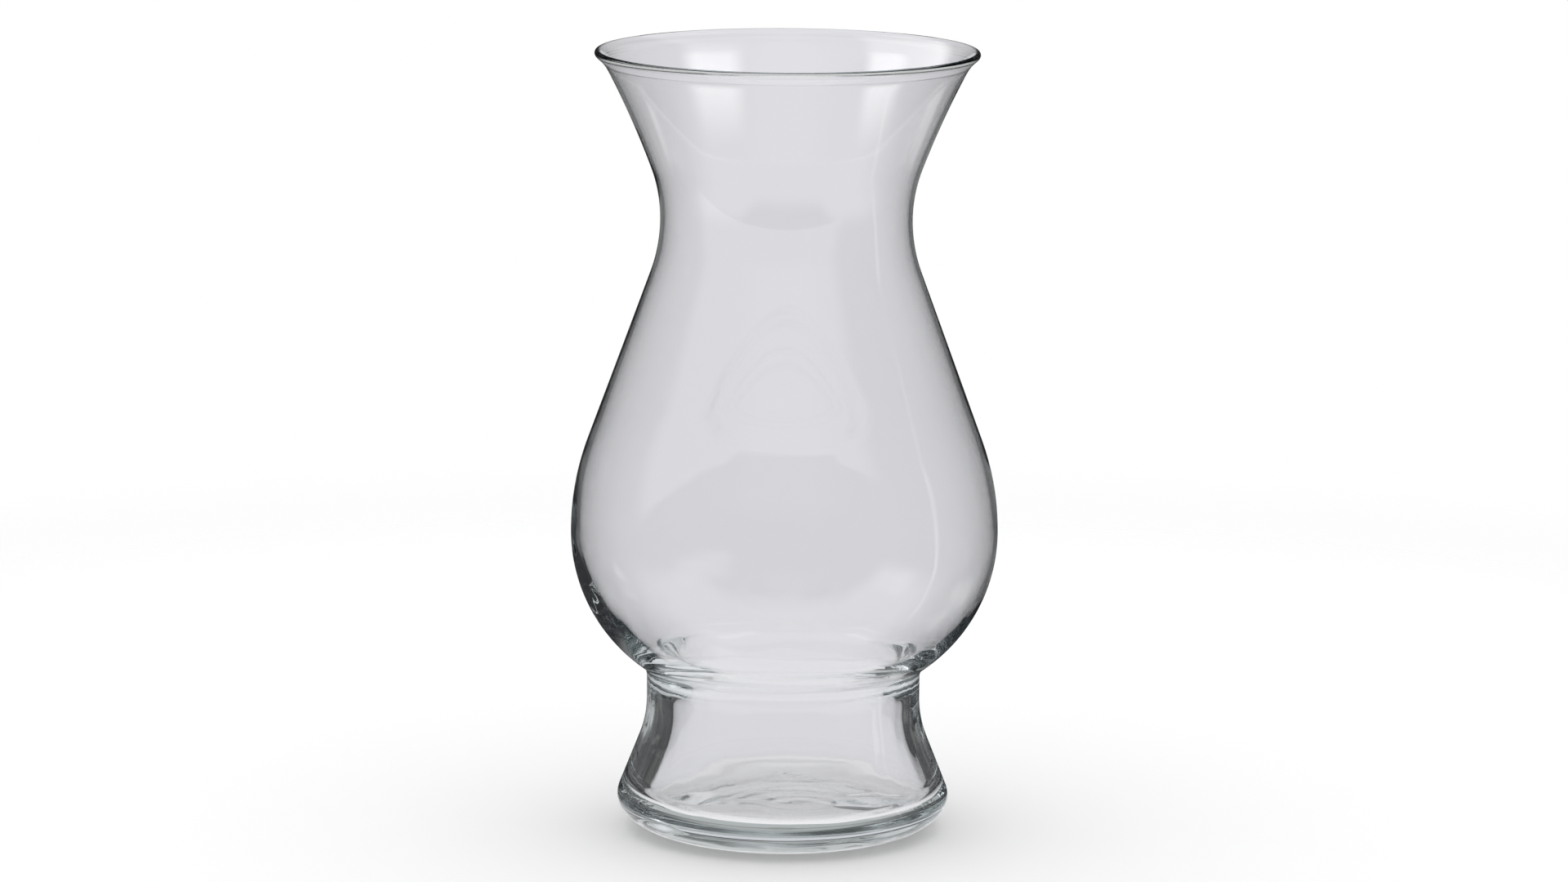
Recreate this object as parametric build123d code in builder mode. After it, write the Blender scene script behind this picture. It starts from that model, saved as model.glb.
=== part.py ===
from build123d import *
import os
from math import atan2, cos, sin, sqrt

# A clear glass bulb-forcing vase: flared cup, waist, water bowl and hollow foot.
# Millimetres, +Z up, origin at the centre of the face it stands on.
# Every piece is a ring of the same glass wall, turned about Z, and meets its neighbour face to face.

# Heights, stacked from the table up
foot_height = 35.4
bowl_height = 98.1
cup_height = 36.5
belly_rise = 30.1
heel_height = 7.4

# Outside diameters
rim_diameter = 82.8
waist_diameter = 54.2
belly_diameter = 92.3
joint_diameter = 59.2
foot_diameter = 71.9

# Glass thickness
bead_diameter = 2.0
cup_wall = 0.95
waist_wall = 0.95
belly_wall = 1.5
throat_wall = 4.9
heel_wall = 5.6
floor_height = 7.0

# Small forms of the foot
crease_round = 3.5
foot_neck_drop = 6.5
throat_drop = 5.5
throat_length = 2.5
floor_round = 1.4
bearing_inset = 12.3
bearing_width = 4.5
push_up = 0.45

# How the curves are shared out: extra lean of a straight over its chord, and the lower arc's share
shoulder_lean = 0.29
shoulder_low_share = 0.63
bowl_lean = 0.777
bowl_low_share = 0.24
foot_lean = 0.31
foot_low_share = 0.15
well_lean = 0.42
well_low_share = 0.07
flare_turn_share = 0.97
flare_height_share = 0.31

# Heights of the stations
joint_z = foot_height
belly_z = joint_z + belly_rise
waist_z = joint_z + bowl_height
rim_z = waist_z + cup_height


def smooth_step(low, high, lean_share, low_share):
    """Joins two upright tangents by arc, straight and arc, and gives the two ends of the straight."""
    run = abs(high[0] - low[0])
    rise = high[1] - low[1]
    side = 1 if high[0] > low[0] else -1
    lean = atan2(run, rise) * (1 + lean_share)
    both_radii = (rise * sin(lean) - run * cos(lean)) / (1 - cos(lean))
    low_radius = both_radii * low_share
    high_radius = both_radii - low_radius
    low_end = (low[0] + side * low_radius * (1 - cos(lean)), low[1] + low_radius * sin(lean))
    high_end = (high[0] - side * high_radius * (1 - cos(lean)), high[1] - high_radius * sin(lean))
    return low_end, high_end


# Outside and inside of the bowl and the waist, as (radius, height)
belly_out = (belly_diameter / 2, belly_z)
belly_in = (belly_diameter / 2 - belly_wall, belly_z)
waist_out = (waist_diameter / 2, waist_z)
waist_in = (waist_diameter / 2 - waist_wall, waist_z)
shoulder_low_out, shoulder_high_out = smooth_step(belly_out, waist_out, shoulder_lean, shoulder_low_share)
shoulder_low_in, shoulder_high_in = smooth_step(belly_in, waist_in, shoulder_lean, shoulder_low_share)

# The bead on the rim, and the cup wall that leans out to it
bead_radius = bead_diameter / 2
bead_center = (rim_diameter / 2 - bead_radius, rim_z - bead_radius)
waist_middle = waist_diameter / 2 - waist_wall / 2
flare_run = bead_center[0] - waist_middle
flare_rise = bead_center[1] - waist_z
flare_turn = atan2(flare_run, flare_rise) * flare_turn_share
turn_height = flare_rise * flare_height_share
turn_run = turn_height / sin(flare_turn) * (1 - cos(flare_turn))
flare_out = (waist_out[0] + turn_run, waist_z + turn_height)
flare_in = (waist_in[0] + turn_run, waist_z + turn_height)
flare_direction = (sin(flare_turn), cos(flare_turn))

# The bead lies flush with the inside of the cup and swells only on the outside
upper_chord = atan2(flare_run - turn_run, flare_rise - turn_height)
rim_lean = 2 * upper_chord - flare_turn
across = (cos(rim_lean), -sin(rim_lean))
along = (sin(rim_lean), cos(rim_lean))
seat_swell = cup_wall - bead_radius
seat_drop = sqrt(bead_radius**2 - seat_swell**2)
seat_in = (bead_center[0] - bead_radius * across[0], bead_center[1] - bead_radius * across[1])
seat_out = (
    bead_center[0] + seat_swell * across[0] - seat_drop * along[0],
    bead_center[1] + seat_swell * across[1] - seat_drop * along[1],
)
bead_top = (bead_center[0] + bead_radius * along[0], bead_center[1] + bead_radius * along[1])

# The crease between bowl and foot: a round that touches the bowl and the foot's neck
joint_radius = joint_diameter / 2
bowl_run = belly_out[0] - joint_radius
bowl_radius = (bowl_run**2 + belly_rise**2) / (2 * bowl_run)
bowl_center = belly_out[0] - bowl_radius
crease_aside = joint_radius + crease_round - bowl_center
crease_below = sqrt((bowl_radius + crease_round) ** 2 - crease_aside**2)
crease_share = bowl_radius / (bowl_radius + crease_round)
crease_low = (joint_radius, belly_z - crease_below)
crease_high = (bowl_center + crease_aside * crease_share, belly_z - crease_below * crease_share)

# The throat inside the crease, with the bowl's floor that slopes down to it
throat = (joint_radius - throat_wall, joint_z - throat_drop)
throat_low = (throat[0], throat[1] - throat_length)
throat_end, bowl_start_in = smooth_step(throat, belly_in, bowl_lean, bowl_low_share)

# Outside of the foot, from the neck under the crease to the heel
foot_radius = foot_diameter / 2
foot_neck = (joint_radius, joint_z - foot_neck_drop)
heel_out = (foot_radius, heel_height)
foot_low_out, foot_high_out = smooth_step(heel_out, foot_neck, foot_lean, foot_low_share)

# Inside of the foot: its wall, the rounded corner and the floor
corner = (foot_radius - heel_wall, floor_height + floor_round)
floor_edge = (corner[0] - floor_round, floor_height)
well_low, well_high = smooth_step(corner, throat_low, well_lean, well_low_share)

# The ring that it stands on, and the hollowed underside
bearing_out = (foot_radius - bearing_inset, 0)
bearing_in = (bearing_out[0] - bearing_width, 0)

UP = (0, 1)
DOWN = (0, -1)

# Rim bead: the fire-polished lip
with BuildPart() as rim_bead:
    with BuildSketch(Plane.XZ) as bead_section:
        with BuildLine() as bead_outline:
            ThreePointArc(seat_out, bead_top, seat_in)
            Line(seat_in, seat_out)
        make_face()
    revolve(axis=Axis.Z)
rim_bead.part.label = "rim_bead"

# Bulb cup: the flared wall that holds the bulb
with BuildPart() as bulb_cup:
    with BuildSketch(Plane.XZ) as cup_section:
        with BuildLine() as cup_outline:
            TangentArc(flare_out, seat_out, tangent=flare_direction)
            Line(seat_out, seat_in)
            TangentArc(flare_in, seat_in, tangent=flare_direction)
            Line(flare_in, flare_out)
        make_face()
    revolve(axis=Axis.Z)
bulb_cup.part.label = "bulb_cup"

# Waist ring: the narrow neck that the bulb rests on
with BuildPart() as waist_ring:
    with BuildSketch(Plane.XZ) as waist_section:
        with BuildLine() as waist_outline:
            TangentArc(waist_out, shoulder_high_out, tangent=DOWN)
            TangentArc(waist_out, flare_out, tangent=UP)
            Line(flare_out, flare_in)
            TangentArc(waist_in, flare_in, tangent=UP)
            TangentArc(waist_in, shoulder_high_in, tangent=DOWN)
            Line(shoulder_high_in, shoulder_high_out)
        make_face()
    revolve(axis=Axis.Z)
waist_ring.part.label = "waist_ring"

# Bowl shoulder: the sloping wall between the waist and the belly
with BuildPart() as bowl_shoulder:
    with BuildSketch(Plane.XZ) as shoulder_section:
        with BuildLine() as shoulder_outline:
            Line(shoulder_low_out, shoulder_high_out)
            Line(shoulder_high_out, shoulder_high_in)
            Line(shoulder_high_in, shoulder_low_in)
            Line(shoulder_low_in, shoulder_low_out)
        make_face()
    revolve(axis=Axis.Z)
bowl_shoulder.part.label = "bowl_shoulder"

# Water bowl: the round belly that holds the water
with BuildPart() as water_bowl:
    with BuildSketch(Plane.XZ) as bowl_section:
        with BuildLine() as bowl_outline:
            TangentArc(belly_out, crease_high, tangent=DOWN)
            TangentArc(crease_low, crease_high, tangent=UP)
            TangentArc(belly_out, shoulder_low_out, tangent=UP)
            Line(shoulder_low_out, shoulder_low_in)
            TangentArc(belly_in, shoulder_low_in, tangent=UP)
            TangentArc(belly_in, bowl_start_in, tangent=DOWN)
            Line(bowl_start_in, throat_end)
            TangentArc(throat, throat_end, tangent=UP)
            Line(throat, crease_low)
        make_face()
    revolve(axis=Axis.Z)
water_bowl.part.label = "water_bowl"

# Foot wall: the thick hollow pedestal
with BuildPart() as foot_wall:
    with BuildSketch(Plane.XZ) as wall_section:
        with BuildLine() as wall_outline:
            Line(crease_low, foot_neck)
            TangentArc(foot_neck, foot_high_out, tangent=DOWN)
            Line(foot_high_out, foot_low_out)
            TangentArc(heel_out, foot_low_out, tangent=UP)
            Line(heel_out, corner)
            TangentArc(corner, well_low, tangent=UP)
            Line(well_low, well_high)
            TangentArc(throat_low, well_high, tangent=DOWN)
            Line(throat_low, throat)
            Line(throat, crease_low)
        make_face()
    revolve(axis=Axis.Z)
foot_wall.part.label = "foot_wall"

# Heel ring: the rounded heel with the flat ring that stands on the table
with BuildPart() as heel_ring:
    with BuildSketch(Plane.XZ) as heel_section:
        with BuildLine() as heel_outline:
            Line(bearing_in, bearing_out)
            EllipticalCenterArc(
                (bearing_out[0], heel_height), bearing_inset, heel_height, start_angle=-90, arc_size=90
            )
            Line(heel_out, corner)
            TangentArc(corner, floor_edge, tangent=DOWN)
            Line(floor_edge, bearing_in)
        make_face()
    revolve(axis=Axis.Z)
heel_ring.part.label = "heel_ring"

# Base disc: the floor of the foot, hollowed underneath
with BuildPart() as base_disc:
    with BuildSketch(Plane.XZ) as disc_section:
        with BuildLine() as disc_outline:
            TangentArc((0, push_up), bearing_in, tangent=(1, 0))
            Line(bearing_in, floor_edge)
            Line(floor_edge, (0, floor_height))
            Line((0, floor_height), (0, push_up))
        make_face()
    revolve(axis=Axis.Z)
base_disc.part.label = "base_disc"

os.makedirs("parts", exist_ok=True)
pieces = (rim_bead, bulb_cup, waist_ring, bowl_shoulder, water_bowl, foot_wall, heel_ring, base_disc)
for piece in pieces:
    export_step(piece.part, f"parts/{piece.part.label}.step")
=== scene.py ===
from math import atan2, cos, hypot, pi, radians, sin, sqrt

import bpy
from mathutils import Matrix, Vector, noise


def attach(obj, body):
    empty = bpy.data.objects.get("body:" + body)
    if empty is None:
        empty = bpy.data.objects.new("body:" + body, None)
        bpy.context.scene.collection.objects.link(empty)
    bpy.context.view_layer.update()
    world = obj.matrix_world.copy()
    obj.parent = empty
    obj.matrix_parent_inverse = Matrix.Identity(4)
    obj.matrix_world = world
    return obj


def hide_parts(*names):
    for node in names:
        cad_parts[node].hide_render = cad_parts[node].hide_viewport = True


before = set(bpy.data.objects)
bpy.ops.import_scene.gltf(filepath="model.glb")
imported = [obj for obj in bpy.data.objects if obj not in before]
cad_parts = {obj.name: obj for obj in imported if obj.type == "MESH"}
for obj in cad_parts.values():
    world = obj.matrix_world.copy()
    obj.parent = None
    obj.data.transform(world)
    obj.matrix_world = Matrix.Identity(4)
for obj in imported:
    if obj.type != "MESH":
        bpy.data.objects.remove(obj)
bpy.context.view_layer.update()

# A clear glass bulb-forcing vase on a pale floor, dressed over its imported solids.
# Metres, +Z up, origin at the centre of the ring that the vase stands on.
MM = 0.001

# Heights, stacked from the table up
FOOT_HEIGHT = 35.4 * MM
BOWL_HEIGHT = 98.1 * MM
CUP_HEIGHT = 36.5 * MM
BELLY_RISE = 30.1 * MM
HEEL_HEIGHT = 7.4 * MM

# Outside diameters
RIM_DIAMETER = 82.8 * MM
WAIST_DIAMETER = 54.2 * MM
BELLY_DIAMETER = 92.3 * MM
JOINT_DIAMETER = 59.2 * MM
FOOT_DIAMETER = 71.9 * MM

# Glass thickness
BEAD_DIAMETER = 2.0 * MM
CUP_WALL = 0.95 * MM
WAIST_WALL = 0.95 * MM
BELLY_WALL = 1.5 * MM
THROAT_WALL = 4.9 * MM
HEEL_WALL = 5.6 * MM
FLOOR_HEIGHT = 7.0 * MM

# Small forms of the foot
CREASE_ROUND = 3.5 * MM
FOOT_NECK_DROP = 6.5 * MM
THROAT_DROP = 5.5 * MM
THROAT_LENGTH = 2.5 * MM
FLOOR_ROUND = 1.4 * MM
BEARING_INSET = 12.3 * MM
BEARING_WIDTH = 4.5 * MM
PUSH_UP = 0.45 * MM

# How the curves are shared out: extra lean of a straight over its chord, and the lower arc's share
SHOULDER_LEAN = 0.29
SHOULDER_LOW_SHARE = 0.63
BOWL_LEAN = 0.777
BOWL_LOW_SHARE = 0.24
FOOT_LEAN = 0.31
FOOT_LOW_SHARE = 0.15
WELL_LEAN = 0.42
WELL_LOW_SHARE = 0.07
FLARE_TURN_SHARE = 0.97
FLARE_HEIGHT_SHARE = 0.31

# Heights of the stations
JOINT_Z = FOOT_HEIGHT
BELLY_Z = JOINT_Z + BELLY_RISE
WAIST_Z = JOINT_Z + BOWL_HEIGHT
RIM_Z = WAIST_Z + CUP_HEIGHT

# Mesh of the glass: segments round the axis, spacing along the outline, and steps over the round heel
SEGMENTS = 180
WALL_STEP = 1.1 * MM
FOOT_STEP = 0.8 * MM
WELL_STEP = 0.42 * MM
FINE_STEP = 0.28 * MM
HEEL_STEPS = 35
NEARLY_STRAIGHT = 1e-9

# Corners that fire polish melts, under the lip and at the bearing ring: reach and smoothing passes
LIP_MELT_REACH = 2.6 * MM
LIP_MELT_PASSES = 24
BEARING_MELT_REACH = 1.2 * MM
BEARING_MELT_PASSES = 6
MELT_SHARE = 0.5

# The hollow of the foot lies off centre, and comes back to the middle between two heights
HOLLOW_SHIFT = 0.8 * MM
HOLLOW_SHIFT_FADE = (40 * MM, 80 * MM)

# Waves of the blown inside, stronger in the lower bowl: how far they stand off, and their spacing
INNER_WAVE = 0.02 * MM
INNER_WAVE_SPACING = 17 * MM
BOWL_WAVE = 0.05 * MM
BOWL_WAVE_WIDE = 11 * MM
BOWL_WAVE_TIGHT = 5 * MM
BOWL_WAVE_HEIGHTS = (40 * MM, 46 * MM, 56 * MM, 75 * MM)

# Leaning streaks on the inside of the foot
STREAK_RISE = 0.05 * MM
STREAK_LENGTH = 18 * MM
STREAK_LEAN = 6 * MM
STREAKS_PER_RADIAN = 14
STREAK_HEIGHTS = (9 * MM, 13 * MM, 28 * MM, 38 * MM)

# The settle line round the inside of the foot, lowest towards the camera
SETTLE_HALF_WIDTH = 0.6 * MM
SETTLE_RISE = 0.09 * MM
SETTLE_HEIGHT = 11.2 * MM
SETTLE_TILT = 2.2 * MM
SETTLE_SAG = 1.6 * MM

# Drift and swirl of the glass in the floor of the foot, and the heights between which they fade out
FLOOR_UNEVEN_FADE = (FLOOR_HEIGHT + 0.2 * MM, FLOOR_HEIGHT + FLOOR_ROUND)
DRIFT_RISE = 0.12 * MM
DRIFT_SPACING = 12 * MM
DRIFT_OFFSET = Vector((3.1, 7.7, 1.3))
SWIRL_RISE = 0.05 * MM
SWIRL_SPACING = 8.0 * MM
SWIRL_BEND = 6.0
SWIRL_START = (1 * MM, 6 * MM)
# A swell and a hollow in the floor of the foot: place, reach and rise
FLOOR_SWELLS = (
    (18 * MM, -6 * MM, 10 * MM, 1.2 * MM),
    (-20 * MM, -4 * MM, 7 * MM, -1.6 * MM),
)

# The moulded outside: its waves, how far they keep inside the ideal surface, and the seam under the heel
OUTER_WAVE = 0.03 * MM
OUTER_WAVE_SPACING = 24 * MM
OUTER_WAVE_OFFSET = Vector((9.2, 1.4, 4.8))
OUTER_INSET = 0.015 * MM
SEAM_RADIUS = 31.5 * MM
SEAM_HALF_WIDTH = 0.45 * MM
SEAM_RISE = 0.05 * MM

# Clear glass: its refraction, and the tint that it takes on where it is thick
GLASS_IOR = 1.5
GLASS_TINT = (0.45, 0.56, 0.58)
GLASS_DENSITY = 6.0
HAZE_SCALE = 60.0
HAZE_DETAIL = 3.0
HAZE_LIMITS = (0.45, 0.75)
HAZE_ROUGHNESS = 0.025
CORD_STRETCH = (45.0, 45.0, 260.0)
CORD_DETAIL = 2.0
CORD_DISTORTION = 0.6
CORD_RELIEF = 0.02
STIPPLE_SCALE = 2200.0
STIPPLE_DOT = 0.5
STIPPLE_RELIEF = 0.15
STIPPLE_HEIGHTS = (0.15 * MM, 0.9 * MM)
STIPPLE_INNER_EDGE = (18.5 * MM, 19.5 * MM)
SKIN_BUMP = 0.6
SKIN_BUMP_DEPTH = 0.15 * MM

# The pale floor: its size, where it fades out, and its colours to the eye and through the glass, where it
# glows as painted light that is brightest under the vase
STAGE_RADIUS = 0.6
STAGE_SEGMENTS = 96
STAGE_DROP = 0.1 * MM
STAGE_FADE = (0.16, 0.45)
STAGE_SEEN_FADE = (0.042, 0.06)
# Radii over which the painted pool of light under the vase gives way to the even glow
PAINTED_LIGHT_POOL_EDGE = (0.025, 0.05)
STAGE_COLOR = (0.94, 0.94, 0.94)
STAGE_GRAIN = (0.9, 0.9, 0.9)
STAGE_GRAIN_SCALE = 400.0
STAGE_GRAIN_SHARE = 0.02
STAGE_SEEN = (0.78, 0.775, 0.79)
# Painted light: the glass shows the floor under the vase glowing brighter than the rest, in place of light
# that passes through the glass
PAINTED_LIGHT_POOL = (0.92, 0.915, 0.93)

# Colours of the studio: the backdrop seen through the glass, then what the glass mirrors
WHITE = (1.0, 1.0, 1.0)
SEEN_THROUGH = (0.750, 0.745, 0.779)
STUDIO_DARK = (0.03, 0.03, 0.033)
STUDIO_FLAG = (0.11, 0.115, 0.11)
STUDIO_GREY = (0.16, 0.16, 0.17)
STUDIO_MIXED = (0.57, 0.58, 0.58)
STUDIO_LIT = (0.50, 0.505, 0.50)
OVERHEAD = (1.15, 1.15, 1.15)
BRIGHT_PANEL = (3.3, 3.3, 3.3)
FAR_PANEL = (1.35, 1.35, 1.35)
STRIP = (1.0, 1.0, 1.0)
LOW_LAMP = (1.2, 1.2, 1.2)
TABLE = (0.88, 0.88, 0.88)
FILL = (1.0, 1.0, 1.0)

# Surfaces that a ray has crossed when it comes by way of the far wall
FAR_WALL_CROSSINGS = 4
# Mirrors from which on a ray counts as led along inside the wall
GUIDED_MIRRORS = 8

# Sectors of the studio in degrees: bearing, width and softness. 0 is behind the vase, 180 towards the camera.
TABLE_FRONT = (180.0, 76.0, 16.0)
NEAR_TABLE = (180.0, 180.0, 20.0)
FRONT_TABLE = (161.0, 142.0, 9.0)
CAMERA_SIDE = (180.0, 60.0, 20.0)
FAR_SIDE = (0.0, 60.0, 20.0)
BEHIND = (0.0, 150.0, 15.0)

# Elevations in degrees: the table's edge at the sides and in front, the lighter room and the ceiling
TABLE_SIDE_EDGE = -19.0
TABLE_FRONT_EDGE = -34.0
TABLE_EDGE_SOFT = 9.0
LIT_ROOM_EDGE = (6.0, 18.0)
OVERHEAD_EDGE = (36.0, 42.0)

# The table's straight front edge, as the far wall mirrors it: its fall from the vase and its softness
TABLE_EDGE_FALL = 0.577
FRONT_EDGE_SOFT = 0.012

# Dark flags in the room, as noise and the limits between which they lighten
CLUTTER_SCALE = 6.0
CLUTTER_DETAIL = 2.0
CLUTTER_LIMITS = (0.48, 0.68)

# Softboxes: bearing, width, lowest and highest elevation in degrees, slope of the edges
PANELS = (
    (119.0, 40.0, 33.0, 43.0, 0.17),
    (-99.0, 27.0, 29.0, 41.0, -0.2),
)
# The rest of the left softbox, mirrored only where no glass is in front, as in the open mouth
MOUTH_PANEL = (-80.0, 66.0, 25.0, 45.0, -0.37)
# Lamps that only the far wall mirrors
LOW_PANELS = (
    (-36.0, 16.0, 6.0, 14.0, -0.5),
    (47.0, 7.0, 9.0, 17.0, 0.4),
)
# The strip light on the right, with level edges
STRIP_PANEL = (90.0, 2.4, -45.0, 17.0)
# Softness of the panels: at the sides, where a narrow panel has less of it, and at top and bottom
PANEL_SIDE_SOFT = 9.0
PANEL_SIDE_SHARE = 0.25
PANEL_LEVEL_SOFT = 5.0

# The lamp over the vase
LAMP_SIZE = 1.6
LAMP_ENERGY = 3.0
LAMP_HEIGHT = 1.3

# Camera of the photograph
CAMERA_PLACE = (-0.0002, -1.36, 0.3305)
CAMERA_PITCH = radians(10.23)
CAMERA_ROLL = radians(0.41)
CAMERA_LENS = 147.2
CAMERA_REACH = 50.0
SENSOR_WIDTH = 36.0

# Rays may bounce often, because the glass wall leads light far along inside itself
MIRROR_BOUNCES = 64
CROSSING_BOUNCES = 32
CLEAR_BOUNCES = 16

UP = (0.0, 1.0)
DOWN = (0.0, -1.0)
OUTWARD = (1.0, 0.0)
NODES = (
    "rim_bead",
    "bulb_cup",
    "waist_ring",
    "bowl_shoulder",
    "water_bowl",
    "foot_wall",
    "heel_ring",
    "base_disc",
)


def smooth_step(low, high, lean_share, low_share):
    """Joins two upright tangents by arc, straight and arc, and gives the two ends of the straight."""
    run = abs(high[0] - low[0])
    rise = high[1] - low[1]
    side = 1 if high[0] > low[0] else -1
    lean = atan2(run, rise) * (1 + lean_share)
    both_radii = (rise * sin(lean) - run * cos(lean)) / (1 - cos(lean))
    low_radius = both_radii * low_share
    high_radius = both_radii - low_radius
    low_end = (low[0] + side * low_radius * (1 - cos(lean)), low[1] + low_radius * sin(lean))
    high_end = (high[0] - side * high_radius * (1 - cos(lean)), high[1] - high_radius * sin(lean))
    return low_end, high_end


def straight(start, end, step):
    """Points from start to end, both included."""
    length = hypot(end[0] - start[0], end[1] - start[1])
    count = max(1, round(length / step))
    return [
        (start[0] + (end[0] - start[0]) * i / count, start[1] + (end[1] - start[1]) * i / count)
        for i in range(count + 1)
    ]


def turned(point, center, angle):
    """A point of the outline, turned about a centre."""
    x = point[0] - center[0]
    y = point[1] - center[1]
    return (
        center[0] + x * cos(angle) - y * sin(angle),
        center[1] + x * sin(angle) + y * cos(angle),
    )


def arc(start, direction, end, step):
    """Points of the arc that leaves start in a direction and ends at end, both included."""
    size = hypot(direction[0], direction[1])
    along = (direction[0] / size, direction[1] / size)
    aside = (-along[1], along[0])
    reach = (end[0] - start[0], end[1] - start[1])
    forward = reach[0] * along[0] + reach[1] * along[1]
    sideways = reach[0] * aside[0] + reach[1] * aside[1]
    if abs(sideways) < NEARLY_STRAIGHT:
        return straight(start, end, step)
    radius = (forward**2 + sideways**2) / (2 * sideways)
    center = (start[0] + radius * aside[0], start[1] + radius * aside[1])
    sweep = 2 * atan2(sideways, forward)
    count = max(2, round(abs(radius * sweep) / step))
    return [turned(start, center, sweep * i / count) for i in range(count + 1)]


def crease_ends(belly, joint):
    """Where the round in the crease leaves the foot's neck, and where it meets the bowl."""
    run = belly[0] - joint[0]
    rise = belly[1] - joint[1]
    bowl_radius = (run**2 + rise**2) / (2 * run)
    center_r = belly[0] - bowl_radius
    aside = joint[0] + CREASE_ROUND - center_r
    below = sqrt((bowl_radius + CREASE_ROUND) ** 2 - aside**2)
    share = bowl_radius / (bowl_radius + CREASE_ROUND)
    low_end = (joint[0], belly[1] - below)
    high_end = (center_r + aside * share, belly[1] - below * share)
    return low_end, high_end


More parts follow.
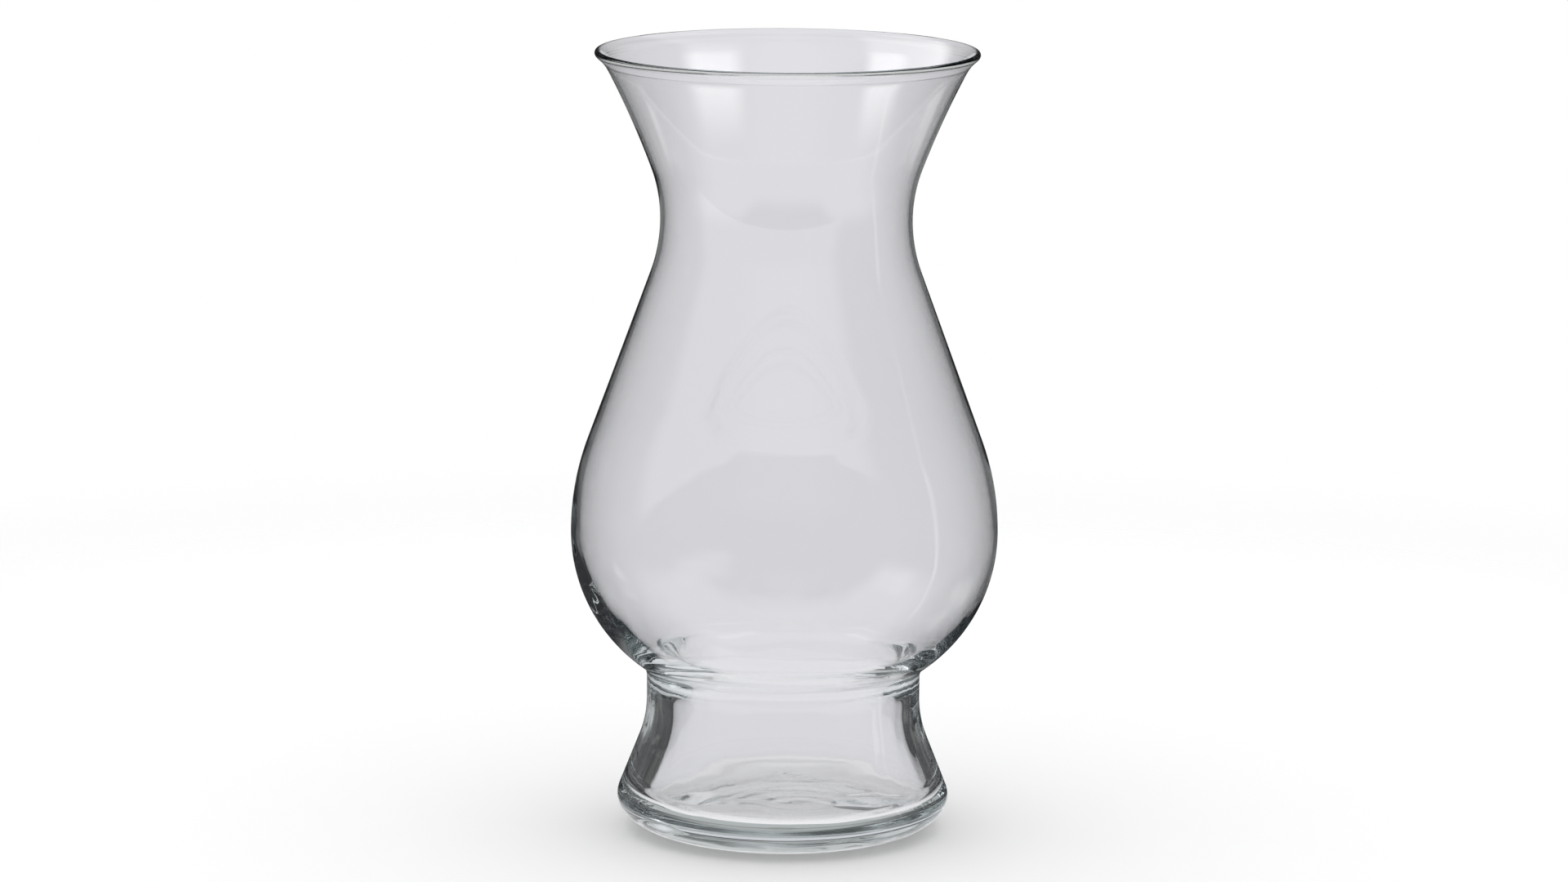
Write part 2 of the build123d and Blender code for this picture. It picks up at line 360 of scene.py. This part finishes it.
def glass_outline():
    """The section of the glass as (radius, height, inside).

    It runs from the middle of the foot's floor over the rim to the middle of the underside.
    """
    belly_out = (BELLY_DIAMETER / 2, BELLY_Z)
    belly_in = (BELLY_DIAMETER / 2 - BELLY_WALL, BELLY_Z)
    waist_out = (WAIST_DIAMETER / 2, WAIST_Z)
    waist_in = (WAIST_DIAMETER / 2 - WAIST_WALL, WAIST_Z)
    shoulder_low_out, shoulder_high_out = smooth_step(belly_out, waist_out, SHOULDER_LEAN, SHOULDER_LOW_SHARE)
    shoulder_low_in, shoulder_high_in = smooth_step(belly_in, waist_in, SHOULDER_LEAN, SHOULDER_LOW_SHARE)

    bead_radius = BEAD_DIAMETER / 2
    bead_center = (RIM_DIAMETER / 2 - bead_radius, RIM_Z - bead_radius)
    flare_run = bead_center[0] - (WAIST_DIAMETER / 2 - WAIST_WALL / 2)
    flare_rise = bead_center[1] - WAIST_Z
    flare_turn = atan2(flare_run, flare_rise) * FLARE_TURN_SHARE
    turn_height = flare_rise * FLARE_HEIGHT_SHARE
    turn_run = turn_height / sin(flare_turn) * (1 - cos(flare_turn))
    flare_out = (waist_out[0] + turn_run, WAIST_Z + turn_height)
    flare_in = (waist_in[0] + turn_run, WAIST_Z + turn_height)
    flare_direction = (sin(flare_turn), cos(flare_turn))
    rim_lean = 2 * atan2(flare_run - turn_run, flare_rise - turn_height) - flare_turn
    across = (cos(rim_lean), -sin(rim_lean))
    along = (sin(rim_lean), cos(rim_lean))
    seat_swell = CUP_WALL - bead_radius
    seat_drop = sqrt(bead_radius**2 - seat_swell**2)
    seat_in = (bead_center[0] - bead_radius * across[0], bead_center[1] - bead_radius * across[1])
    seat_out = (
        bead_center[0] + seat_swell * across[0] - seat_drop * along[0],
        bead_center[1] + seat_swell * across[1] - seat_drop * along[1],
    )

    joint = (JOINT_DIAMETER / 2, JOINT_Z)
    crease_low, crease_high = crease_ends(belly_out, joint)
    throat = (JOINT_DIAMETER / 2 - THROAT_WALL, JOINT_Z - THROAT_DROP)
    throat_low = (throat[0], throat[1] - THROAT_LENGTH)
    throat_end, bowl_start_in = smooth_step(throat, belly_in, BOWL_LEAN, BOWL_LOW_SHARE)
    foot_radius = FOOT_DIAMETER / 2
    foot_neck = (joint[0], JOINT_Z - FOOT_NECK_DROP)
    heel_out = (foot_radius, HEEL_HEIGHT)
    foot_low_out, foot_high_out = smooth_step(heel_out, foot_neck, FOOT_LEAN, FOOT_LOW_SHARE)
    corner = (foot_radius - HEEL_WALL, FLOOR_HEIGHT + FLOOR_ROUND)
    floor_edge = (corner[0] - FLOOR_ROUND, FLOOR_HEIGHT)
    well_low, well_high = smooth_step(corner, throat_low, WELL_LEAN, WELL_LOW_SHARE)
    bearing_out = (foot_radius - BEARING_INSET, 0.0)
    bearing_in = (bearing_out[0] - BEARING_WIDTH, 0.0)

    # Inside, from the middle of the floor up to the bead
    inner_runs = [
        straight((0.0, FLOOR_HEIGHT), floor_edge, FOOT_STEP),
        arc(floor_edge, OUTWARD, corner, FINE_STEP),
        arc(corner, UP, well_low, FINE_STEP),
        straight(well_low, well_high, WELL_STEP),
        arc(throat_low, DOWN, well_high, FOOT_STEP)[::-1],
        straight(throat_low, throat, FOOT_STEP),
        arc(throat, UP, throat_end, FOOT_STEP),
        straight(throat_end, bowl_start_in, FOOT_STEP),
        arc(belly_in, DOWN, bowl_start_in, WALL_STEP)[::-1],
        arc(belly_in, UP, shoulder_low_in, WALL_STEP),
        straight(shoulder_low_in, shoulder_high_in, WALL_STEP),
        arc(waist_in, DOWN, shoulder_high_in, WALL_STEP)[::-1],
        arc(waist_in, UP, flare_in, WALL_STEP),
        arc(flare_in, flare_direction, seat_in, WALL_STEP),
    ]

    # Over the bead
    bead_sweep = pi + atan2(seat_drop, seat_swell)
    bead_count = round(bead_radius * bead_sweep / FINE_STEP)
    bead_run = [turned(seat_in, bead_center, -bead_sweep * i / bead_count) for i in range(bead_count + 1)]

    # Outside, from the bead down to the heel and in under the foot
    heel_run = [
        (
            bearing_out[0] + BEARING_INSET * cos(pi / 2 * i / HEEL_STEPS),
            HEEL_HEIGHT - HEEL_HEIGHT * sin(pi / 2 * i / HEEL_STEPS),
        )
        for i in range(HEEL_STEPS + 1)
    ]
    outer_runs = [
        arc(flare_out, flare_direction, seat_out, WALL_STEP)[::-1],
        arc(waist_out, UP, flare_out, WALL_STEP)[::-1],
        arc(waist_out, DOWN, shoulder_high_out, WALL_STEP),
        straight(shoulder_high_out, shoulder_low_out, WALL_STEP),
        arc(belly_out, UP, shoulder_low_out, WALL_STEP)[::-1],
        arc(belly_out, DOWN, crease_high, WALL_STEP),
        arc(crease_low, UP, crease_high, FINE_STEP)[::-1],
        straight(crease_low, foot_neck, FOOT_STEP),
        arc(foot_neck, DOWN, foot_high_out, FOOT_STEP),
        straight(foot_high_out, foot_low_out, FOOT_STEP),
        arc(heel_out, UP, foot_low_out, FOOT_STEP)[::-1],
        heel_run,
        straight(bearing_out, bearing_in, FOOT_STEP),
        arc((0.0, PUSH_UP), OUTWARD, bearing_in, WALL_STEP)[::-1],
    ]

    outline = []
    for run in inner_runs:
        outline.extend((r, z, True) for r, z in run[:-1])
    outline.extend((r, z, False) for r, z in bead_run[:-1])
    for run in outer_runs:
        outline.extend((r, z, False) for r, z in run[:-1])
    outline.append((0.0, PUSH_UP, False))
    outline = soften_creases(outline, (seat_out,), LIP_MELT_REACH, LIP_MELT_PASSES)
    return soften_creases(outline, (bearing_out, bearing_in), BEARING_MELT_REACH, BEARING_MELT_PASSES)


def soften_creases(outline, creases, reach, passes):
    """Melts the outline's sharp corners a little, as fire polish does, and leaves the rest alone."""
    for _ in range(passes):
        softened = list(outline)
        for i in range(1, len(outline) - 1):
            r, z, inside = outline[i]
            near = min(hypot(r - c[0], z - c[1]) for c in creases)
            if near < reach:
                share = MELT_SHARE * (1 - near / reach)
                middle_r = (outline[i - 1][0] + outline[i + 1][0]) / 2
                middle_z = (outline[i - 1][1] + outline[i + 1][1]) / 2
                softened[i] = (r + (middle_r - r) * share, z + (middle_z - z) * share, inside)
        outline = softened
    return outline


def ramp(value, low, high):
    """0 at low, 1 at high, smooth between."""
    t = min(1.0, max(0.0, (value - low) / (high - low)))
    return t * t * (3 - 2 * t)


def between(value, low, low_full, high_full, high):
    """0 up to low, 1 between the two full values, 0 again from high on, smooth between."""
    return ramp(value, low, low_full) * (1 - ramp(value, high_full, high))


def hump(off):
    """1 at 0, falling smoothly to 0 at 1 and beyond."""
    return (1 - off * off) ** 2 if off < 1 else 0.0


def inner_relief(point, radius, angle):
    """How far the blown inside stands off its ideal surface, in metres."""
    relief = INNER_WAVE * noise.noise(point / INNER_WAVE_SPACING)
    bowl = between(point.z, *BOWL_WAVE_HEIGHTS)
    if bowl > 0:
        wide = BOWL_WAVE * noise.noise(point / BOWL_WAVE_WIDE)
        tight = BOWL_WAVE * noise.noise(point / BOWL_WAVE_TIGHT)
        relief += bowl * (wide + tight)
    foot = between(point.z, *STREAK_HEIGHTS)
    if foot > 0:
        round_x = STREAKS_PER_RADIAN * cos(angle)
        round_y = STREAKS_PER_RADIAN * sin(angle)
        upward = (point.z + STREAK_LEAN * angle) / STREAK_LENGTH
        relief += foot * STREAK_RISE * noise.noise(Vector((round_x, round_y, upward)))
    away = sin(angle)
    settle_z = SETTLE_HEIGHT + SETTLE_TILT * away - SETTLE_SAG * away * away
    relief += SETTLE_RISE * hump(abs(point.z - settle_z) / SETTLE_HALF_WIDTH)
    floor = 1 - ramp(point.z, *FLOOR_UNEVEN_FADE)
    if floor > 0:
        drift = noise.noise(point / DRIFT_SPACING + DRIFT_OFFSET)
        swirl = sin(2 * pi * radius / SWIRL_SPACING + angle + SWIRL_BEND * drift)
        relief += floor * (SWIRL_RISE * swirl * ramp(radius, *SWIRL_START) + DRIFT_RISE * drift)
        for x, y, reach, rise in FLOOR_SWELLS:
            relief += floor * rise * hump(hypot(point.x - x, point.y - y) / reach)
    return relief


def outer_relief(point, radius):
    """How far the moulded outside stands off its ideal surface, in metres."""
    wave = noise.noise(point / OUTER_WAVE_SPACING + OUTER_WAVE_OFFSET)
    relief = -OUTER_WAVE * (1 + wave) - OUTER_INSET
    if point.z < HEEL_HEIGHT:
        relief += SEAM_RISE * hump(abs(radius - SEAM_RADIUS) / SEAM_HALF_WIDTH)
    return relief


def glass_vertices(outline):
    """Turns the outline about Z: one vertex at each pole, a ring for each point between."""
    vertices = [Vector((HOLLOW_SHIFT, 0.0, outline[0][1]))]
    for i in range(1, len(outline) - 1):
        r, z, inside = outline[i]
        dr = outline[i + 1][0] - outline[i - 1][0]
        dz = outline[i + 1][1] - outline[i - 1][1]
        size = hypot(dr, dz)
        off_r = -dz / size
        off_z = dr / size
        shift = HOLLOW_SHIFT * (1 - ramp(z, *HOLLOW_SHIFT_FADE)) if inside else 0.0
        for k in range(SEGMENTS):
            angle = 2 * pi * k / SEGMENTS
            ideal = Vector((r * cos(angle), r * sin(angle), z))
            relief = inner_relief(ideal, r, angle) if inside else outer_relief(ideal, r)
            radius = r + off_r * relief
            height = z + off_z * relief
            vertices.append(Vector((radius * cos(angle) + shift, radius * sin(angle), height)))
    vertices.append(Vector((0.0, 0.0, outline[-1][1])))
    return vertices


def glass_faces(ring_count):
    """Fans at the two poles and quads between the rings, all facing out of the glass."""
    faces = []
    last = 1 + ring_count * SEGMENTS
    for k in range(SEGMENTS):
        after = (k + 1) % SEGMENTS
        faces.append((0, 1 + k, 1 + after))
        end = 1 + (ring_count - 1) * SEGMENTS
        faces.append((end + k, last, end + after))
    for i in range(ring_count - 1):
        here = 1 + i * SEGMENTS
        above = here + SEGMENTS
        for k in range(SEGMENTS):
            after = (k + 1) % SEGMENTS
            faces.append((here + k, above + k, above + after, here + after))
    return faces


def make_vase(material):
    """The whole vase as one closed skin of glass, which stands for all of its zones."""
    outline = glass_outline()
    vertices = glass_vertices(outline)
    faces = glass_faces(len(outline) - 2)
    mesh = bpy.data.meshes.new("vase_glass")
    mesh.from_pydata(vertices, [], faces)
    mesh.shade_smooth()
    mesh.materials.append(material)
    vase = bpy.data.objects.new("vase_glass", mesh)
    bpy.context.scene.collection.objects.link(vase)
    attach(vase, "root")
    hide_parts(*NODES)


def new_material(name):
    """A material with an empty node tree and its output node."""
    material = bpy.data.materials.new(name)
    material.use_nodes = True
    tree = material.node_tree
    tree.nodes.clear()
    output = tree.nodes.new("ShaderNodeOutputMaterial")
    return material, tree, output


def add_math(tree, operation, first, second=None, clamp=False):
    """A Math node on sockets or plain numbers, and its result."""
    node = tree.nodes.new("ShaderNodeMath")
    node.operation = operation
    node.use_clamp = clamp
    for socket, value in zip(node.inputs, (first, second)):
        if value is None:
            continue
        if isinstance(value, (int, float)):
            socket.default_value = value
        else:
            tree.links.new(value, socket)
    return node.outputs[0]


def add_ramp(tree, value, low, high, low_result=0.0, high_result=1.0):
    """A smooth step of a value between two limits."""
    node = tree.nodes.new("ShaderNodeMapRange")
    node.interpolation_type = "SMOOTHSTEP"
    tree.links.new(value, node.inputs["Value"])
    node.inputs["From Min"].default_value = low
    node.inputs["From Max"].default_value = high
    node.inputs["To Min"].default_value = low_result
    node.inputs["To Max"].default_value = high_result
    return node.outputs["Result"]


def add_mix(tree, factor, first, second):
    """A mix of two colours, each a socket or a plain colour."""
    node = tree.nodes.new("ShaderNodeMix")
    node.data_type = "RGBA"
    color_inputs = [s for s in node.inputs if s.type == "RGBA"]
    factor_input = [s for s in node.inputs if s.type == "VALUE"][0]
    tree.links.new(factor, factor_input)
    for socket, value in zip(color_inputs, (first, second)):
        if isinstance(value, tuple):
            socket.default_value = (*value, 1.0)
        else:
            tree.links.new(value, socket)
    return [s for s in node.outputs if s.type == "RGBA"][0]


def add_value_mix(tree, factor, first, second):
    """A mix of two value sockets."""
    node = tree.nodes.new("ShaderNodeMix")
    node.data_type = "FLOAT"
    tree.links.new(factor, node.inputs[0])
    tree.links.new(first, node.inputs[2])
    tree.links.new(second, node.inputs[3])
    return node.outputs[0]


def glass_material():
    """Clear soda-lime glass: nearly smooth, with fine cords in its skin and a stippled bearing ring."""
    material, tree, output = new_material("clear_glass")
    nodes = tree.nodes
    links = tree.links
    shader = nodes.new("ShaderNodeBsdfPrincipled")
    shader.inputs["Base Color"].default_value = (*WHITE, 1.0)
    shader.inputs["Transmission Weight"].default_value = 1.0
    shader.inputs["IOR"].default_value = GLASS_IOR
    absorption = nodes.new("ShaderNodeVolumeAbsorption")
    absorption.inputs["Color"].default_value = (*GLASS_TINT, 1.0)
    absorption.inputs["Density"].default_value = GLASS_DENSITY
    links.new(shader.outputs["BSDF"], output.inputs["Surface"])
    links.new(absorption.outputs["Volume"], output.inputs["Volume"])

    place = nodes.new("ShaderNodeTexCoord").outputs["Object"]
    split = nodes.new("ShaderNodeSeparateXYZ")
    links.new(place, split.inputs[0])
    x, y, z = split.outputs

    # Faint haze that comes and goes over the skin
    haze = nodes.new("ShaderNodeTexNoise")
    haze.inputs["Scale"].default_value = HAZE_SCALE
    haze.inputs["Detail"].default_value = HAZE_DETAIL
    links.new(place, haze.inputs["Vector"])
    roughness = add_ramp(tree, haze.outputs["Fac"], *HAZE_LIMITS, 0.0, HAZE_ROUGHNESS)
    links.new(roughness, shader.inputs["Roughness"])

    # Cords: drawn-out streaks that run round the axis
    stretch = nodes.new("ShaderNodeMapping")
    stretch.inputs["Scale"].default_value = CORD_STRETCH
    links.new(place, stretch.inputs["Vector"])
    cords = nodes.new("ShaderNodeTexNoise")
    cords.inputs["Scale"].default_value = 1.0
    cords.inputs["Detail"].default_value = CORD_DETAIL
    cords.inputs["Distortion"].default_value = CORD_DISTORTION
    links.new(stretch.outputs[0], cords.inputs["Vector"])

    # Stipple on the ring that stands on the table
    dots = nodes.new("ShaderNodeTexVoronoi")
    dots.inputs["Scale"].default_value = STIPPLE_SCALE
    links.new(place, dots.inputs["Vector"])
    x_squared = add_math(tree, "POWER", x, 2.0)
    y_squared = add_math(tree, "POWER", y, 2.0)
    radius = add_math(tree, "SQRT", add_math(tree, "ADD", x_squared, y_squared))
    low = add_ramp(tree, z, *STIPPLE_HEIGHTS, 1.0, 0.0)
    outside_push_up = add_ramp(tree, radius, *STIPPLE_INNER_EDGE)
    stippled = add_math(tree, "MULTIPLY", low, outside_push_up)
    dot = add_ramp(tree, dots.outputs["Distance"], 0.0, STIPPLE_DOT, 1.0, 0.0)
    stipple = add_math(tree, "MULTIPLY", dot, stippled)
    streaks = add_math(tree, "MULTIPLY", cords.outputs["Fac"], CORD_RELIEF)
    height = add_math(tree, "ADD", streaks, add_math(tree, "MULTIPLY", stipple, STIPPLE_RELIEF))
    bump = nodes.new("ShaderNodeBump")
    bump.inputs["Strength"].default_value = SKIN_BUMP
    bump.inputs["Distance"].default_value = SKIN_BUMP_DEPTH
    links.new(height, bump.inputs["Height"])
    links.new(bump.outputs["Normal"], shader.inputs["Normal"])
    return material


def floor_material():
    """Pale paper that fades out with distance, and glows softly where the glass shows it, brightest under the
    vase as a painted pool of light.
    """
    material, tree, output = new_material("pale_floor")
    nodes = tree.nodes
    links = tree.links
    place = nodes.new("ShaderNodeTexCoord").outputs["Object"]
    length = nodes.new("ShaderNodeVectorMath")
    length.operation = "LENGTH"
    links.new(place, length.inputs[0])
    radius = length.outputs["Value"]
    path = nodes.new("ShaderNodeLightPath")
    seen = add_math(tree, "MAXIMUM", path.outputs["Is Transmission Ray"], path.outputs["Is Glossy Ray"])
    grain = nodes.new("ShaderNodeTexNoise")
    grain.inputs["Scale"].default_value = STAGE_GRAIN_SCALE
    links.new(place, grain.inputs["Vector"])
    grain_share = add_math(tree, "MULTIPLY", grain.outputs["Fac"], STAGE_GRAIN_SHARE)
    paper = add_mix(tree, grain_share, STAGE_COLOR, STAGE_GRAIN)
    diffuse = nodes.new("ShaderNodeBsdfDiffuse")
    links.new(paper, diffuse.inputs["Color"])
    glow = nodes.new("ShaderNodeEmission")
    # Painted pool of light: where the glass shows it, the floor glows brighter under the vase than farther
    # out
    painted_glow_color = add_mix(tree, add_ramp(tree, radius, *PAINTED_LIGHT_POOL_EDGE), PAINTED_LIGHT_POOL, STAGE_SEEN)
    links.new(painted_glow_color, glow.inputs["Color"])
    clear = nodes.new("ShaderNodeBsdfTransparent")
    lit = nodes.new("ShaderNodeMixShader")
    links.new(add_ramp(tree, radius, *STAGE_FADE), lit.inputs[0])
    links.new(diffuse.outputs[0], lit.inputs[1])
    links.new(clear.outputs[0], lit.inputs[2])
    in_glass = nodes.new("ShaderNodeMixShader")
    links.new(add_ramp(tree, radius, *STAGE_SEEN_FADE), in_glass.inputs[0])
    links.new(glow.outputs[0], in_glass.inputs[1])
    links.new(clear.outputs[0], in_glass.inputs[2])
    mix = nodes.new("ShaderNodeMixShader")
    links.new(seen, mix.inputs[0])
    links.new(lit.outputs[0], mix.inputs[1])
    links.new(in_glass.outputs[0], mix.inputs[2])
    links.new(mix.outputs[0], output.inputs["Surface"])
    return material


def make_floor(material):
    """A pale round of floor that keeps the shadow and melts into the background."""
    vertices = [(0.0, 0.0, 0.0)]
    for k in range(STAGE_SEGMENTS):
        angle = 2 * pi * k / STAGE_SEGMENTS
        vertices.append((STAGE_RADIUS * cos(angle), STAGE_RADIUS * sin(angle), 0.0))
    faces = [(0, 1 + k, 1 + (k + 1) % STAGE_SEGMENTS) for k in range(STAGE_SEGMENTS)]
    mesh = bpy.data.meshes.new("floor")
    mesh.from_pydata(vertices, [], faces)
    mesh.materials.append(material)
    floor = bpy.data.objects.new("floor", mesh)
    floor.location = (0.0, 0.0, -STAGE_DROP)
    bpy.context.scene.collection.objects.link(floor)


def add_at_least(tree, count, least):
    """1 where a whole number is at least so large, else 0."""
    return add_math(tree, "GREATER_THAN", count, least - 0.5)


def add_turn(tree, azimuth, center_deg):
    """How far a bearing is turned from a middle one, between -180 and 180 degrees."""
    turn = add_math(tree, "SUBTRACT", azimuth, center_deg)
    turn = add_math(tree, "WRAP", turn, 180.0)
    turn.node.inputs[2].default_value = -180.0
    return turn


def add_sector(tree, azimuth, center_deg, width_deg, soft_deg):
    """1 between two bearings of the studio, given by their middle and how far apart they are."""
    aside = add_math(tree, "ABSOLUTE", add_turn(tree, azimuth, center_deg))
    return add_ramp(tree, aside, width_deg / 2 - soft_deg, width_deg / 2 + soft_deg, 1.0, 0.0)


def add_panel(tree, azimuth, elevation, center_deg, width_deg, low_deg, high_deg, slope=0.0):
    """1 inside a panel of the studio.

    The panel is given by its bearing, its width, its lowest and highest elevation and the slope of its edges.
    """
    turn = add_turn(tree, azimuth, center_deg)
    soft = min(PANEL_SIDE_SOFT, width_deg * PANEL_SIDE_SHARE)
    aside = add_math(tree, "ABSOLUTE", turn)
    across = add_ramp(tree, aside, width_deg / 2 - soft, width_deg / 2 + soft, 1.0, 0.0)
    level = add_math(tree, "SUBTRACT", elevation, add_math(tree, "MULTIPLY", turn, slope))
    over = add_ramp(tree, level, low_deg - PANEL_LEVEL_SOFT, low_deg + PANEL_LEVEL_SOFT)
    under = add_ramp(tree, level, high_deg - PANEL_LEVEL_SOFT, high_deg + PANEL_LEVEL_SOFT, 1.0, 0.0)
    return add_math(tree, "MULTIPLY", across, add_math(tree, "MULTIPLY", over, under))


def make_world():
    """The studio: white to the eye, a pale backdrop through the glass, and a dim room in its mirrors.

    A mirrored ray takes its colour from its direction, how often it was mirrored and what it crossed.
    """
    world = bpy.data.worlds.new("studio")
    bpy.context.scene.world = world
    world.use_nodes = True
    tree = world.node_tree
    tree.nodes.clear()
    nodes = tree.nodes
    links = tree.links
    output = nodes.new("ShaderNodeOutputWorld")
    background = nodes.new("ShaderNodeBackground")
    links.new(background.outputs[0], output.inputs["Surface"])

    ray = nodes.new("ShaderNodeTexCoord").outputs["Generated"]
    split = nodes.new("ShaderNodeSeparateXYZ")
    links.new(ray, split.inputs[0])
    x, y, z = split.outputs
    azimuth = add_math(tree, "DEGREES", add_math(tree, "ARCTAN2", x, y))
    elevation = add_math(tree, "DEGREES", add_math(tree, "ARCSINE", z))

    # How a ray came here: mirrored or not, how often, and through how many surfaces
    path = nodes.new("ShaderNodeLightPath")
    mirrors = path.outputs["Glossy Depth"]
    crossings = path.outputs["Transmission Depth"]
    was_mirrored = add_at_least(tree, mirrors, 1)
    often_mirrored = add_at_least(tree, mirrors, 2)
    guided = add_at_least(tree, mirrors, GUIDED_MIRRORS)
    was_scattered = add_at_least(tree, path.outputs["Diffuse Depth"], 1)
    entered = add_at_least(tree, crossings, 1)
    far_wall = add_at_least(tree, crossings, FAR_WALL_CROSSINGS)

    # The table, which reaches farther out at the sides than towards the camera
    in_front = add_sector(tree, azimuth, *TABLE_FRONT)
    table_edge = add_ramp(tree, in_front, 0.0, 1.0, TABLE_SIDE_EDGE, TABLE_FRONT_EDGE)
    under_edge = add_math(tree, "SUBTRACT", table_edge, elevation)
    near_table = add_math(
        tree,
        "MULTIPLY",
        add_ramp(tree, under_edge, -TABLE_EDGE_SOFT, TABLE_EDGE_SOFT),
        add_sector(tree, azimuth, *NEAR_TABLE),
    )
    below_edge = add_math(tree, "SUBTRACT", add_math(tree, "MULTIPLY", y, TABLE_EDGE_FALL), z)
    front_table = add_math(
        tree,
        "MULTIPLY",
        add_ramp(tree, below_edge, -FRONT_EDGE_SOFT, FRONT_EDGE_SOFT),
        add_sector(tree, azimuth, *FRONT_TABLE),
    )

    # The room: rays from inside the wall see dark flags, lit before and behind the vase, the others see greys
    clutter = nodes.new("ShaderNodeTexNoise")
    clutter.inputs["Scale"].default_value = CLUTTER_SCALE
    clutter.inputs["Detail"].default_value = CLUTTER_DETAIL
    links.new(ray, clutter.inputs["Vector"])
    lighter = add_ramp(tree, clutter.outputs["Fac"], *CLUTTER_LIMITS)
    flags = add_mix(tree, lighter, STUDIO_DARK, STUDIO_FLAG)
    ahead = add_math(
        tree,
        "ADD",
        add_sector(tree, azimuth, *FAR_SIDE),
        add_sector(tree, azimuth, *CAMERA_SIDE),
    )
    raised = add_math(tree, "MULTIPLY", ahead, add_ramp(tree, elevation, *LIT_ROOM_EDGE))
    flags = add_mix(tree, raised, flags, STUDIO_LIT)
    behind = add_sector(tree, azimuth, *BEHIND)
    room = add_mix(tree, entered, add_mix(tree, behind, STUDIO_GREY, STUDIO_DARK), flags)
    room = add_mix(tree, far_wall, room, STUDIO_GREY)
    room = add_mix(tree, often_mirrored, room, STUDIO_MIXED)
    room = add_mix(tree, guided, room, add_mix(tree, ahead, STUDIO_DARK, STUDIO_MIXED))

    # The table and the lights over the room
    table = add_value_mix(tree, far_wall, near_table, front_table)
    overhead = add_math(tree, "SUBTRACT", add_ramp(tree, elevation, *OVERHEAD_EDGE), entered, clamp=True)
    mirrored = add_mix(tree, table, room, TABLE)
    mirrored = add_mix(tree, overhead, mirrored, OVERHEAD)
    strip = add_panel(tree, azimuth, elevation, *STRIP_PANEL)
    strip = add_math(tree, "SUBTRACT", strip, far_wall, clamp=True)
    mirrored = add_mix(tree, strip, mirrored, STRIP)
    softbox = add_mix(tree, far_wall, BRIGHT_PANEL, FAR_PANEL)
    for panel in PANELS:
        mirrored = add_mix(tree, add_panel(tree, azimuth, elevation, *panel), mirrored, softbox)
    mouth = add_panel(tree, azimuth, elevation, *MOUTH_PANEL)
    mouth = add_math(tree, "SUBTRACT", mouth, entered, clamp=True)
    mirrored = add_mix(tree, mouth, mirrored, BRIGHT_PANEL)
    for panel in LOW_PANELS:
        shine = add_math(tree, "MULTIPLY", add_panel(tree, azimuth, elevation, *panel), far_wall)
        mirrored = add_mix(tree, shine, mirrored, LOW_LAMP)

    color = add_mix(tree, was_mirrored, SEEN_THROUGH, mirrored)
    color = add_mix(tree, was_scattered, color, FILL)
    color = add_mix(tree, path.outputs["Is Camera Ray"], color, WHITE)
    links.new(color, background.inputs["Color"])
    background.inputs["Strength"].default_value = 1.0


def make_lamps():
    """One large softbox over the vase, which gives the floor its light and its soft shadow."""
    light = bpy.data.lights.new("overhead_softbox", "AREA")
    light.shape = "SQUARE"
    light.size = LAMP_SIZE
    light.energy = LAMP_ENERGY
    lamp = bpy.data.objects.new("overhead_softbox", light)
    lamp.location = (0.0, 0.0, LAMP_HEIGHT)
    lamp.visible_camera = False
    lamp.visible_glossy = False
    lamp.visible_transmission = False
    bpy.context.scene.collection.objects.link(lamp)


def make_camera():
    """The photograph's camera: a long lens, looking a little down on the vase."""
    data = bpy.data.cameras.new("camera")
    data.sensor_width = SENSOR_WIDTH
    data.lens = CAMERA_LENS
    data.clip_end = CAMERA_REACH
    camera = bpy.data.objects.new("camera", data)
    pitch = Matrix.Rotation(pi / 2 - CAMERA_PITCH, 4, "X")
    roll = Matrix.Rotation(CAMERA_ROLL, 4, "Z")
    camera.matrix_world = Matrix.Translation(CAMERA_PLACE) @ pitch @ roll
    bpy.context.scene.collection.objects.link(camera)
    bpy.context.scene.camera = camera


scene = bpy.context.scene
scene.view_settings.view_transform = "Standard"
scene.cycles.max_bounces = MIRROR_BOUNCES
scene.cycles.transmission_bounces = CROSSING_BOUNCES
scene.cycles.glossy_bounces = MIRROR_BOUNCES
scene.cycles.transparent_max_bounces = CLEAR_BOUNCES

make_vase(glass_material())
make_floor(floor_material())
make_world()
make_lamps()
make_camera()
